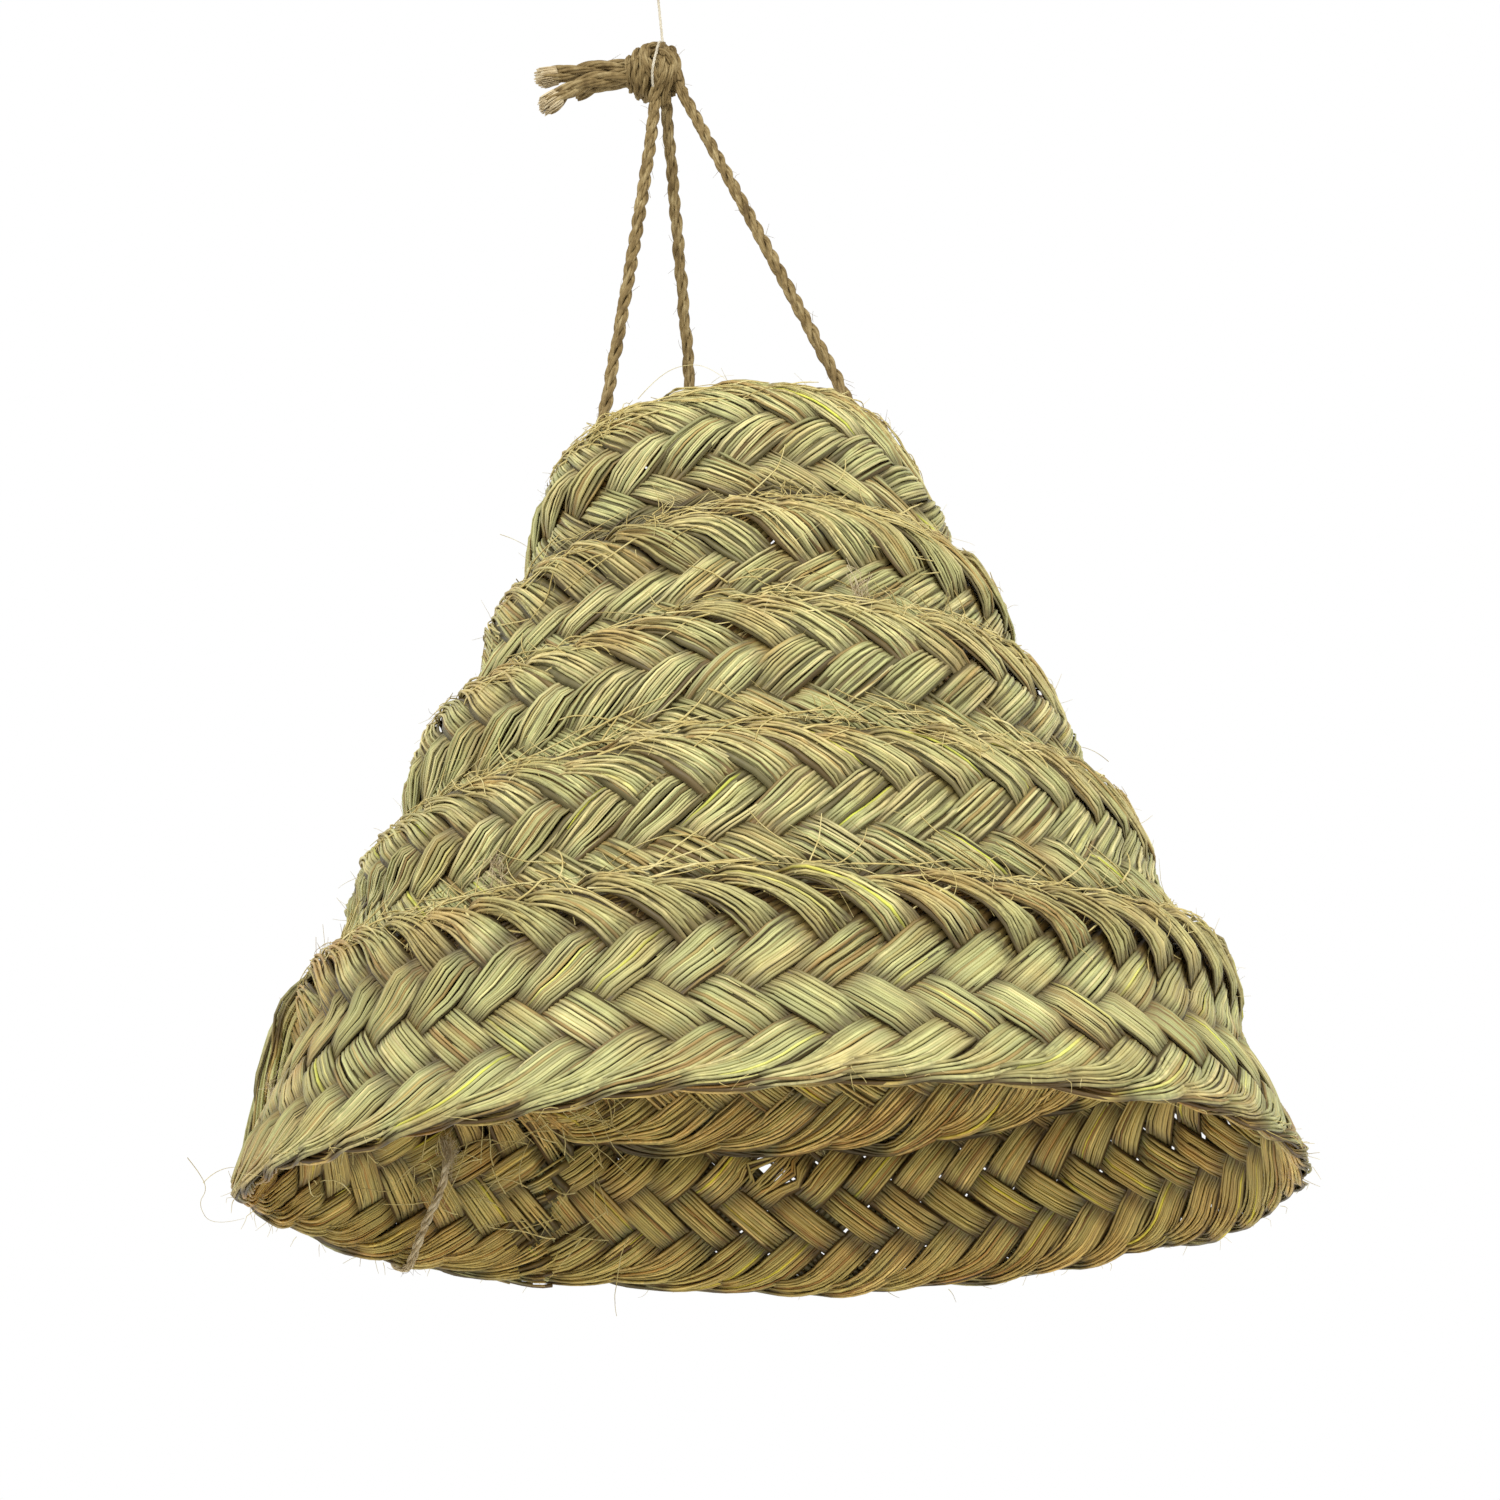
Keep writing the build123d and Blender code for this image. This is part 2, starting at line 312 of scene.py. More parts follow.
# The blades of the lowest turn have parted at the back and left a slanted gap
GAP_WINDING = 179.5
GAP_SLOPE = 53.0
GAP_SIZE = (11.5, 5.0)  # half its length and half its height
GAP_SLANT = radians(23)

LAP_STEP = 6.0  # how far an upper edge steps out over the next turn
CLIMB_STAND_OUT = 7.5  # how far the climb passes outside the strip's first end
CLIMB_FLARE = 6.0  # how much further its free edge stands out at the left


def climb_offset(winding, slope, over):
    """How far the climb stands out of the wall, where over is 1."""
    stand_out = CLIMB_STAND_OUT + CLIMB_FLARE * smooth_step(winding, 240, 266)
    return stand_out * over * (1 - smooth_step(slope, 66, 108))


def part_blades(winding, slope, share):
    """Moves places near the gap out of it. share is 0 for blades that still cross it."""
    radius = INNER_RADIUS - GAP_SLOPE * sin(WALL_ANGLE)
    east = np.radians(winding - GAP_WINDING) * radius
    north = slope - GAP_SLOPE
    along = east * cos(GAP_SLANT) + north * sin(GAP_SLANT)
    cross = north * cos(GAP_SLANT) - east * sin(GAP_SLANT)
    reach = np.maximum(np.hypot(along / GAP_SIZE[0], cross / GAP_SIZE[1]), 0.02)
    push = share * ((1 + reach**-3) ** (1 / 3) - 1) * (reach < 5)
    along, cross = along * push, cross * push
    east = along * cos(GAP_SLANT) - cross * sin(GAP_SLANT)
    north = along * sin(GAP_SLANT) + cross * cos(GAP_SLANT)
    return winding + np.degrees(east / radius), slope + north


def strip_point(distance, across, rise, parted=1.0):
    """Places in the strip: distance along it, across it from its upper edge, and rise from the
    middle of its thickness outward. Gives row-frame points and the outward direction."""
    winding = np.interp(distance, DISTANCES, WINDINGS)
    upper, lower = upper_edge(winding), lower_edge(winding)
    slope = upper + (lower - upper) * across / STRIP_WIDTH
    winding, slope = part_blades(winding, slope, parted)
    # the upper edge steps out over the next turn's lower edge
    lap = np.clip(upper - lower_edge(winding + 360), 10, 32)
    lap_share = smooth_step(winding, -100, -72) * (1 - smooth_step(winding, 1630, 1650))
    out = LAP_STEP * lap_share * (1 - smooth_step(across, lap - 3, lap + 13))
    over = smooth_step(winding, 200, 222) * (1 - smooth_step(winding, 282, 298))
    out = out + climb_offset(winding, slope, over)
    offset = WALL_THICKNESS / 2 + out + wall_swell(winding, slope) + rise
    return wall(winding, slope, offset), wall_normal(winding)


def strand_course(phase):
    """The middle line of a strand: across the strip, and its direction, by distance from the
    upper edge's turn."""
    fold = np.abs((phase + HALF_PERIOD) % (2 * HALF_PERIOD) - HALF_PERIOD)
    falling = np.where((phase % (2 * HALF_PERIOD)) < HALF_PERIOD, 1.0, -1.0)
    bend_reach = EDGE_BEND * sin(BRAID_ANGLE)
    bend_depth = EDGE_BEND * (1 - cos(BRAID_ANGLE))
    near = np.minimum(fold, HALF_PERIOD - fold)
    in_bend = near < bend_reach
    bend = EDGE_MARGIN + EDGE_BEND - np.sqrt(EDGE_BEND**2 - np.minimum(near, bend_reach) ** 2)
    straight = EDGE_MARGIN + bend_depth + (near - bend_reach) * tan(BRAID_ANGLE)
    depth = np.where(in_bend, bend, straight)
    across = np.where(fold < HALF_PERIOD / 2, depth, STRIP_WIDTH - depth)
    angle = falling * np.where(in_bend, np.arcsin(near / EDGE_BEND), BRAID_ANGLE)
    return across, angle


def strand_side(phase, lateral):
    """1 where a strand lies on the outside of the strip and -1 where it lies on the inside. It
    turns to the outside at each edge, and goes over two strands and under two."""
    place = phase % HALF_PERIOD
    falling = np.where((phase % (2 * HALF_PERIOD)) < HALF_PERIOD, 1.0, -1.0)
    shift = falling * lateral * cos(BRAID_ANGLE) / tan(2 * BRAID_ANGLE)
    half = STRAND_PITCH / 2
    side = -np.ones_like(place)
    dive = 6.2  # half the length over which a strand goes under another
    for up_at, down_at, reach in ((0, 3.5, 8.0), (5.5, 7.5, dive), (11, 14, 8.0)):
        slide = 0 if up_at in (0, 11) else shift
        rise = smooth_step(place + slide, up_at * half - reach, up_at * half + reach)
        fall = smooth_step(place + shift, down_at * half - dive, down_at * half + dive)
        side = side + 2 * rise * (1 - fall)
    return side


def wobble(rng, count, length, spacing, size):
    """Slow random drift for each of count lines, at each STEP_LENGTH of length."""
    knots = rng.normal(0, size, (count, int(length / spacing) + 4))
    places = np.arange(0, length + STEP_LENGTH, STEP_LENGTH) / spacing
    index = places.astype(int)
    share = places - index
    share = share * share * (3 - 2 * share)
    return knots[:, index] * (1 - share) + knots[:, index + 1] * share


def braid_strand(number):
    """One strand of the braid, from the strip's first end to its last, as separate blades."""
    rng = np.random.default_rng(100 + number)
    blades = BLADES + UNDER_BLADES
    under = (np.arange(blades) >= BLADES)[:, None]
    places = [(np.arange(count) + 0.5) / count - 0.5 for count in (BLADES, UNDER_BLADES)]
    share = np.concatenate(places)[:, None]
    distance = np.arange(0, STRIP_LENGTH, STEP_LENGTH)[None, :].repeat(blades, axis=0)
    steps = distance.shape[1]
    phase = distance + number * STRAND_PITCH
    across, angle = strand_course(phase)

    def drift(count, spacing, size):
        return wobble(rng, count, STRIP_LENGTH, spacing, size)[:, :steps]

    # the arches at a lap's upper edge are narrow and stand apart, with gaps beneath them
    winding = np.interp(distance, DISTANCES, WINDINGS)
    edge = 1 - smooth_step(across, 9, 32)
    arch = edge * (1 - 0.35 * smooth_step(winding, 270, 300)) * (1 - smooth_step(winding, 1290, 1350))
    uneven = smooth_step(winding, 250, 330)  # the upper turns are braided less evenly
    swell = 1 + drift(1, 60, 0.05) * (1 + uneven) + arch * drift(1, 25, 0.14)
    # the lowest turn is looser at the back right, where small holes show
    loose = smooth_step(winding, 60, 100) * (1 - smooth_step(winding, 185, 200))
    width = np.hypot(EDGE_BUNDLE_WIDTH, STRAND_PITCH * np.sin(np.abs(angle)))
    shown_through = 0.6 * (1 - smooth_step(winding, 265, 280))
    narrowing = 0.33 * arch + 0.12 * loose * (1 - edge)
    width = np.minimum(width, BUNDLE_WIDTH) * swell * (1 - narrowing * np.where(under, shown_through, 1.0))
    squeeze = 1 - np.clip(width / BUNDLE_WIDTH, 0, 1)
    lateral = (share + drift(blades, 45, 0.02) * (1 + 2.2 * uneven * ~under)) * width
    lateral = lateral + squeeze * drift(blades, 26, 0.8) * (1 + edge) * ~under
    side = strand_side(phase, lateral)
    crown = 0.75 * (1 - 4 * share**2)
    stack = ((np.arange(blades) * 5) % 3 - 1.0)[:, None]
    rise = side * (LAYER_RISE + crown + 0.9 * arch - 0.9 * under) + 0.5 * arch
    rise = rise + stack * ~under * (0.06 + 1.3 * squeeze)
    rise = rise + drift(blades, 30, 0.09) * (1 + 2.2 * uneven * ~under)
    rise = rise + squeeze * drift(blades, 24, 0.8) * ~under
    along = distance - np.sin(angle) * lateral
    sideways = across + drift(1, 80, 0.5) * (1 + uneven) + squeeze * drift(1, 50, 2.6)
    sideways = sideways + np.cos(angle) * lateral
    crosses_gap = (np.arange(blades) % 6 == 2)[:, None]
    lines, normals = strip_point(np.clip(along, 0, STRIP_LENGTH), sideways, rise, 1.0 - crosses_gap)

    # blades are shorter than the strip, so each one is a chain of lengths with thin ends
    joined = np.ones((blades, steps - 1), bool)
    taper = np.ones((blades, steps))
    for blade in range(blades):
        joined[blade, : int(rng.uniform(0, 7))] = False
        joined[blade, steps - int(rng.uniform(1, 4)) :] = False
    for blade in range(BLADES):
        place = int(rng.uniform(10, 90))
        while place < steps - 6:
            joined[blade, place] = False
            taper[blade, place - 1 : place + 3] = (0.6, 0.25, 0.3, 0.65)
            place += int(rng.uniform(55, 100))
    fatness = rng.uniform(0.8, 1.25, (blades, 1)) * taper
    under_width = width / UNDER_BLADES * (0.62 + 0.12 * uneven)
    half_width = np.where(under, under_width, (0.64 - 0.14 * squeeze) * fatness)
    half_height = np.where(under, 0.45, (0.46 + 0.12 * squeeze) * fatness)

    tangent = unit(np.gradient(lines, axis=1))
    lean = (drift(blades, 40, 0.3) * ~under)[:, :, None]
    out = unit(normals - tangent * (normals * tangent).sum(-1, keepdims=True))
    sidewards = np.cross(tangent, out)
    leant_out = out * np.cos(lean) + sidewards * np.sin(lean)
    leant_side = sidewards * np.cos(lean) - out * np.sin(lean)
    corners = 4
    rings = tube_rings(lines, leant_side, leant_out, half_width, half_height, corners)
    faces = tube_faces(blades, steps, corners, joined)

    chain = np.cumsum(np.hstack([np.zeros((blades, 1), bool), ~joined]), axis=1)
    tint = rng.uniform(0, 1, (blades, int(chain.max()) + 1))
    # the under blades take the ramp's darker, browner colours, as painted shade in the gaps
    tint = np.take_along_axis(tint, chain, axis=1) * np.where(under, 0.4, 1.0)
    middling = (tint < 0.975) & (tint > 0.1)
    tint = np.where(middling, np.clip(tint + drift(1, 55, 0.1) + 0.18 * uneven, 0.1, 0.975), tint)
    fold = np.clip(squeeze * 1.3, 0, 1) * (0.15 + 0.75 * edge)
    left_corner = smooth_step(winding, -112, -86) * (1 - smooth_step(winding, -66, -44))
    fold = fold + left_corner * (tint > 0.35)
    # painted shade, darkening what lies deep: beneath other blades, at a dive under a strand, under a lap,
    # and at the sides of each bundle
    lap_shade = smooth_step(sideways, STRIP_WIDTH - 30, STRIP_WIDTH - 22) * smooth_step(side, -0.2, 0.4)
    lap_shade = lap_shade * smooth_step(winding, 270, 300)
    dive = 1 - side**2
    depth = 0.78 * np.maximum(under, dive) * (1 - 0.15 * uneven)
    depth = np.maximum(depth, 0.85 * lap_shade)
    depth = depth + 0.38 * (2 * np.abs(share)) ** 4
    inside = smooth_step(-side, -0.2, 0.5)
    course = np.stack([lateral, distance, 20.0 * number + share * 8 + 0 * distance], axis=-1)
    # depth carries the painted shade to the grass material
    values = {"tint": tint, "fold": fold, "depth": np.clip(depth, 0, 1), "inside": inside}
    attributes = {}
    for key, value in values.items():
        attributes[key] = np.repeat(np.broadcast_to(value, tint.shape).ravel(), corners)
    attributes["course"] = np.repeat(course.reshape(-1, 3), corners, axis=0)
    return new_mesh(f"braid_strand_{number + 1:02d}", rings.reshape(-1, 3), faces, attributes)


# ---- materials


def settle(tree, socket, value):
    """Gives an input a value, or links it where the value is another node's output."""
    if isinstance(value, bpy.types.NodeSocket):
        tree.links.new(value, socket)
    else:
        socket.default_value = value


def node(tree, kind, terms=(), **values):
    """A shader node with its properties and inputs settled. terms are inputs by number."""
    made = tree.nodes.new(kind)
    for key, value in values.items():
        if hasattr(made, key):
            setattr(made, key, value)
        else:
            settle(tree, made.inputs[key.replace("_", " ")], value)
    for number, value in enumerate(terms):
        settle(tree, made.inputs[number], value)
    return made


def new_material(name, roughness, specular):
    """A material, its node tree and its shader."""
    material = bpy.data.materials.new(name)
    material.use_nodes = True
    shader = material.node_tree.nodes["Principled BSDF"]
    shader.inputs["Roughness"].default_value = roughness
    shader.inputs["Specular IOR Level"].default_value = specular
    return material, material.node_tree, shader


def read(tree, name, output="Fac"):
    """A mesh attribute."""
    return node(tree, "ShaderNodeAttribute", attribute_name=name).outputs[output]


def patch_noise(tree, scale):
    """Soft patches over the object."""
    place = node(tree, "ShaderNodeTexCoord").outputs["Object"]
    return node(tree, "ShaderNodeTexNoise", Scale=scale, Detail=2.0, Vector=place).outputs["Fac"]


def fibre_noise(tree, stretch, detail):
    """Streaks along a blade or a yarn."""
    course = read(tree, "course", "Vector")
    place = node(tree, "ShaderNodeMapping", Scale=stretch, Vector=course).outputs["Vector"]
    return node(tree, "ShaderNodeTexNoise", Scale=1.0, Detail=detail, Vector=place).outputs["Fac"]


def spread(tree, value, low, high, to_low=0.0, to_high=1.0):
    """A value's range from low to high, moved to another."""
    made = node(
        tree, "ShaderNodeMapRange", Value=value, From_Min=low, From_Max=high, To_Min=to_low, To_Max=to_high
    )
    return made.outputs["Result"]


def colour_ramp(tree, value, colours):
    """Colours by a value, each with its place."""
    ramp = node(tree, "ShaderNodeValToRGB", Fac=value)
    elements = ramp.color_ramp.elements
    while len(elements) < len(colours):
        elements.new(0.5)
    for element, (place, colour) in zip(elements, colours):
        element.position = place
        element.color = (*colour, 1)
    return ramp.outputs["Color"]


def mix(tree, factor, first, second, blend="MIX"):
    """Two colours mixed."""
    made = node(
        tree, "ShaderNodeMix", data_type="RGBA", blend_type=blend, Factor=factor, A=first, B=second
    )
    return made.outputs["Result"]


def finish_material(tree, shader, colour, height, strength):
    """Gives a shader its colour and a fine bump."""
    tree.links.new(colour, shader.inputs["Base Color"])
    bump = node(tree, "ShaderNodeBump", Strength=strength, Distance=0.0002, Height=height)
    tree.links.new(bump.outputs["Normal"], shader.inputs["Normal"])


def grass_material():
    """Dried esparto: dull green and straw blades, tan where they fold round an edge, and painted shade where
    blades lie deep.
    """
    material, tree, shader = new_material("esparto", 0.5, 0.35)
    colours = (
        (0.0, (0.27, 0.175, 0.055)),
        (0.05, (0.36, 0.265, 0.085)),
        (0.10, (0.35, 0.32, 0.12)),
        (0.5, (0.405, 0.405, 0.165)),
        (0.8, (0.49, 0.475, 0.20)),
        (0.984, (0.62, 0.55, 0.25)),
        (0.993, (0.62, 0.66, 0.08)),
    )
    colour = colour_ramp(tree, read(tree, "tint"), colours)
    patches = spread(tree, patch_noise(tree, 38.0), 0.45, 0.70)
    patches = node(tree, "ShaderNodeMath", (patches, 0.45), operation="MULTIPLY").outputs["Value"]
    tan_share = node(tree, "ShaderNodeMath", (read(tree, "fold"), 0.55, patches), operation="MULTIPLY_ADD")
    colour = mix(tree, tan_share.outputs["Value"], colour, (0.42, 0.275, 0.09, 1))
    streaks = fibre_noise(tree, (3.5, 0.04, 1.0), 3.0)
    colour = mix(tree, 1.0, colour, spread(tree, streaks, 0.3, 0.7, 0.66, 1.24), "MULTIPLY")
    # painted shade: blades that lie deep turn to a near-black brown
    colour = mix(tree, read(tree, "depth"), colour, (0.060, 0.040, 0.012, 1))
    colour = mix(tree, read(tree, "inside"), colour, (1.15, 0.92, 0.64, 1), "MULTIPLY")
    finish_material(tree, shader, colour, streaks, 0.25)
    return material


def jute_material(name, dark, middle, light):
    """Twisted plant fibre: fine streaks along each yarn, with yarns and soft patches of different tone."""
    material, tree, shader = new_material(name, 0.72, 0.25)
    fibres = fibre_noise(tree, (1.0, 0.35, 1.0), 4.0)
    mixed = node(tree, "ShaderNodeMath", (fibres, patch_noise(tree, 140.0)), operation="ADD")
    terms = (read(tree, "tint"), 0.3, mixed.outputs["Value"])
    shifted = node(tree, "ShaderNodeMath", terms, operation="MULTIPLY_ADD").outputs["Value"]
    colours = ((0, dark), (0.5, middle), (1, light))
    colour = colour_ramp(tree, spread(tree, shifted, 0.72, 1.55), colours)
    finish_material(tree, shader, colour, fibres, 0.5)
    return material


GRASS = grass_material()

for strand_number in range(STRAND_COUNT):
    strand = braid_strand(strand_number)
    strand.data.materials.append(GRASS)
    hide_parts(*[f"braid_turn_{n}" for n in range(1, 6)], "strip_rise")

# ---- twisted cords

LINE_STEP = 0.9  # between the rings of a twisted cord


def even_line(points, step=LINE_STEP):
    """The same line at even steps."""
    lengths = np.concatenate([[0], np.cumsum(np.linalg.norm(np.diff(points, axis=0), axis=1))])
    places = np.linspace(0, lengths[-1], max(int(lengths[-1] / step), 4) + 1)
    return np.stack([np.interp(places, lengths, points[:, axis]) for axis in range(3)], axis=1)


def spline_line(route):
    """Points along the smooth spline that has a route's points, in metres, as control points."""
    curve = bpy.data.curves.new("route", "CURVE")
    curve.dimensions = "3D"
    curve.resolution_u = 40
    spline = curve.splines.new("NURBS")
    spline.points.add(len(route) - 1)
    for control, point in zip(spline.points, route):
        control.co = (*point, 1)
    spline.order_u = 3
    spline.use_endpoint_u = True
    carrier = bpy.data.objects.new("route", curve)
    mesh = bpy.data.meshes.new_from_object(carrier)
    points = np.array([vertex.co[:] for vertex in mesh.vertices])
    bpy.data.objects.remove(carrier)
    bpy.data.curves.remove(curve)
    bpy.data.meshes.remove(mesh)
    return even_line(points / MM)


def cross_directions(line):
    """Two directions across a line at each of its points, which don't turn about it."""
    ahead = unit(np.gradient(line, axis=0))
    side = np.empty_like(line)
    start = np.cross(ahead[0], (0.3, 0.9, 0.3))
    side[0] = start / np.linalg.norm(start)
    for step in range(1, len(line)):
        side[step] = side[step - 1] - ahead[step] * (side[step - 1] @ ahead[step])
        side[step] /= np.linalg.norm(side[step])
    return side, np.cross(ahead, side)


def spiral(line, radius, pitch, start):
    """A line wound round another. radius may change along it."""
    side, up = cross_directions(line)
    place = np.arange(len(line)) * LINE_STEP
    angle = start + 2 * pi * place / pitch
    radius = np.broadcast_to(radius, place.shape)[:, None]
    return line + radius * (side * np.cos(angle)[:, None] + up * np.sin(angle)[:, None])


def tubes(lines, radii, corners=5):
    """Points, faces and attributes of round tubes along lines of different lengths. radii may
    change along each line."""
    all_points, all_faces, along, around = [], [], [], []
    offset = 0
    for number, (line, radius) in enumerate(zip(lines, radii)):
        side, up = cross_directions(line)
        radius = np.broadcast_to(radius, (len(line),))[None]
        rings = tube_rings(line[None], side[None], up[None], radius, radius, corners)
        all_points.append(rings.reshape(-1, 3))
        joined = np.ones((1, len(line) - 1), bool)
        all_faces.append(tube_faces(1, len(line), corners, joined) + offset)
        offset += len(line) * corners
        along.append(np.repeat(np.arange(len(line)) * LINE_STEP, corners))
        around.append(np.full(len(line) * corners, number))
    along = np.concatenate(along)
    around = np.concatenate(around)
    course = np.stack([around * 3.7, along, around * 1.3], axis=1)
    attributes = {"course": course, "tint": (around * 0.37) % 1}
    return np.vstack(all_points), np.vstack(all_faces), attributes


def twisted_lines(line, radius, pitch, plies=2, yarns=6, loosen=0.0, seed=0):
    """The yarns of a twisted cord round a line, and their radii: a core and outer yarns in each
    ply. loosen spreads the last stretch of the cord where it is cut."""
    rng = np.random.default_rng(seed)
    place = np.arange(len(line)) * LINE_STEP
    open_end = smooth_step(place, place[-1] - 16, place[-1]) * loosen
    lines, radii = [], []
    ply_radius = radius * (0.54 if plies == 2 else 0.48)
    for ply in range(plies):
        start = 2 * pi * ply / plies
        ply_line = spiral(line, radius * 0.47 * (1 + open_end), pitch, start)
        lines.append(ply_line)
        radii.append(ply_radius * 0.72)
        for yarn in range(yarns):
            turn = 2 * pi * (yarn + rng.uniform(-0.15, 0.15)) / yarns
            reach = ply_radius * (0.66 + rng.uniform(-0.04, 0.06)) * (1 + 0.7 * open_end)
            lines.append(spiral(ply_line, reach, -pitch * rng.uniform(0.85, 1.1), turn))
            radii.append(ply_radius * rng.uniform(0.36, 0.46) * (1 - 0.35 * open_end))
    return lines, radii


def jute_hairs(line, radius, count, seed, longest=9.0):
    """Short loose fibres that leave a jute cord at a low angle."""
    rng = np.random.default_rng(seed)
    side, up = cross_directions(line)
    ahead = unit(np.gradient(line, axis=0))
    lines, radii = [], []
    for _ in range(count):
        at = int(rng.uniform(2, len(line) - 2))
        turn = rng.uniform(0, 2 * pi)
        out = side[at] * cos(turn) + up[at] * sin(turn)
        lean = ahead[at] * rng.choice([-1, 1]) * rng.uniform(0.6, 1.6)
        lean = lean + np.cross(ahead[at], out) * rng.normal(0, 0.5)
        length = rng.uniform(0.35, 1.0) * longest
        share = np.linspace(0, 1, 7)[:, None]
        bent = out * share * rng.uniform(0.5, 1.0) + lean * share + rng.normal(0, 0.3, 3) * share**2
        lines.append(line[at] + out * radius * 0.85 + bent / np.linalg.norm(bent[-1]) * length)
        radii.append(np.linspace(0.11, 0.05, 7))
    return lines, radii


def join(bundles):
    """One bundle of lines and radii from several."""
    return [sum(parts, []) for parts in zip(*bundles)]


def cord_piece(name, bundles, material, replaced=(), body="shade"):
    """One mesh piece from bundles of lines and their radii, each with its number of corners."""
    points, faces, courses, tints = [], [], [], []
    offset = 0
    for (lines, radii), corners in bundles:
        some_points, some_faces, attributes = tubes(lines, radii, corners)
        points.append(some_points)
        faces.append(some_faces + offset)
        courses.append(attributes["course"])
        tints.append(attributes["tint"])
        offset += len(some_points)
    attributes = {"course": np.vstack(courses), "tint": np.concatenate(tints)}
    thing = new_mesh(name, np.vstack(points), np.vstack(faces), attributes, body)
    thing.data.materials.append(material)
    if replaced:
        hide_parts(*replaced)
    return thing


# ---- hanging cords and knots

LINE_END = np.array([0.0, 0.0, -44.0])
KNOT_RADIUS = 12.5
KNOT_DIRECTION = unit(np.array([-0.319, 0, -0.948]))
LINE_RADIUS = 0.75
KNOT_CENTRE = LINE_END + KNOT_DIRECTION * (KNOT_RADIUS + 2 * LINE_RADIUS + 0.65)
CORD_RADIUS = 3.0
CORD_PITCH = 27.0  # one full turn of its three plies
SLOPE_LENGTH = hypot(BOTTOM_RADIUS - TOP_RADIUS, SHADE_HEIGHT)
CORD_HOLE_SLOPE = 316.0
CORD_INSIDE = -3.3
STOPPER_OFFSET = 13.6


def from_knot(*offset):
    """A point of a route, in metres, given in millimetres from the gathering knot's middle."""
    return tuple((KNOT_CENTRE + np.array(offset)) * MM)


def on_wall(azimuth, slope, offset):
    """A point of a route, in metres, given on the wall."""
    return tuple(wall(azimuth, slope, offset) * MM)


# The routes are the CAD model's, with some points moved a little. The left cord leaves the knot
# beside the back one, and the right cord follows the wall where it bends in.
CORD_ROUTES = {
    "left": [
        from_knot(-0.5, -1.5, -9.0),
        from_knot(-2.6, -1.5, -30.0),
        on_wall(-79, SLOPE_LENGTH - 2, CORD_INSIDE + 3.6),
        on_wall(-77, CORD_HOLE_SLOPE, CORD_INSIDE + 2),
        on_wall(-76, CORD_HOLE_SLOPE, STOPPER_OFFSET - 3),
    ],
    "right": [
        from_knot(8.6, -1.5, -5.5),
        on_wall(58, SLOPE_LENGTH - 2, CORD_INSIDE + 1.8),
        on_wall(58, CORD_HOLE_SLOPE, CORD_INSIDE - 2.5),
        on_wall(58, CORD_HOLE_SLOPE, STOPPER_OFFSET - 8),
    ],
    "back": [
        from_knot(3.45, 3.2, -9.0),
        on_wall(198, SLOPE_LENGTH - 2, CORD_INSIDE),
        on_wall(198, CORD_HOLE_SLOPE, CORD_INSIDE),
        on_wall(198, CORD_HOLE_SLOPE, STOPPER_OFFSET),
    ],
}
TAIL_POINTS = {  # from the knot's middle
    "upper": ((-9.0, -1.5, 3.2), (-24.0, -2.5, 4.0), (-36.5, -3.5, 1.9), (-51.0, -5.0, -0.6)),
    "lower": ((-9.0, -3.0, -2.6), (-23.5, -4.5, -3.2), (-36.5, -6.0, -7.0), (-50.0, -7.5, -17.6)),
    "rear": ((-9.0, 4.6, 0.4), (-19.0, 5.6, 2.2), (-29.0, 6.4, 1.0), (-37.0, 6.0, -1.2)),
}
TAIL_ROUTES = {place: [from_knot(*point) for point in points] for place, points in TAIL_POINTS.items()}


fluff_lines, fluff_radii = [], []


def add_fluff(line, radius, count, seed, longest=9.0):
    """Loose fibres of a jute cord, kept for the one piece that holds them all."""
    lines, radii = jute_hairs(line, radius, count, seed, longest)
    fluff_lines.extend(lines)
    fluff_radii.extend(radii)


def jute_cord(name, line, seed, radius=CORD_RADIUS, pitch=CORD_PITCH, loosen=0.0, replaced=()):
    """A three-ply jute cord along a line."""
    add_fluff(line, radius, int(len(line) * 0.12), seed, longest=6)
    bundles = [(twisted_lines(line, radius, pitch, plies=3, loosen=loosen, seed=seed), 6)]
    return cord_piece(name, bundles, JUTE, replaced)


# Each cord's end is wrapped and knotted outside the wall: the middle lines of its wraps, by
# azimuth, slope and offset. The left one comes over the rim, and the right one lies flat below it.
STOPPER_WRAPS = {
    "left": (
        ((-75, 332, -5), (-75, 342, 2), (-76, 336, 11), (-77, 320, 11.5), (-73, 306, 9.5), (-70, 296, 8)),
        ((-82, 318, 7), (-79, 314, 12), (-73, 318, 12.5), (-69, 326, 8)),
        ((-84, 327, 6), (-79, 331, 12), (-73, 328, 12.5), (-68, 320, 8)),
    ),
    "right": (
        ((57, 331, -6), (55, 341, -2), (53, 336, 5.5), (51, 328, 6), (48, 318, 6.5)),
        ((61, 321, 2), (57, 320, 5.5), (52, 324, 6.5), (46, 333, 6)),
        ((62, 330, 1), (57, 334, 5.5), (50, 332, 7), (44, 326, 6)),
    ),
    "back": (
        ((198, 316, 4), (198, 321, 10), (201, 316, 13), (203, 306, 9), (204, 294, 8)),
        ((192, 318, 7), (196, 322, 12), (201, 318, 12.5), (204, 310, 8)),
        ((204, 322, 7), (200, 312, 12.5), (194, 312, 11), (191, 320, 7)),
    ),
}


def stopper_knot(side, seed):
    """The wraps and short tail that stop a cord outside the wall."""
    bundles = []
    for number, wrap in enumerate(STOPPER_WRAPS[side]):
        middle = spline_line([on_wall(*place) for place in wrap])
        bundles.append(twisted_lines(middle, 2.5, 20, plies=3, yarns=5, loosen=0.5, seed=seed + number))
        add_fluff(middle, 2.3, 22, seed + 5 + number, longest=7)
    return cord_piece(f"stopper_{side}", [(join(bundles), 6)], JUTE, [f"stopper_knot_{side}"])


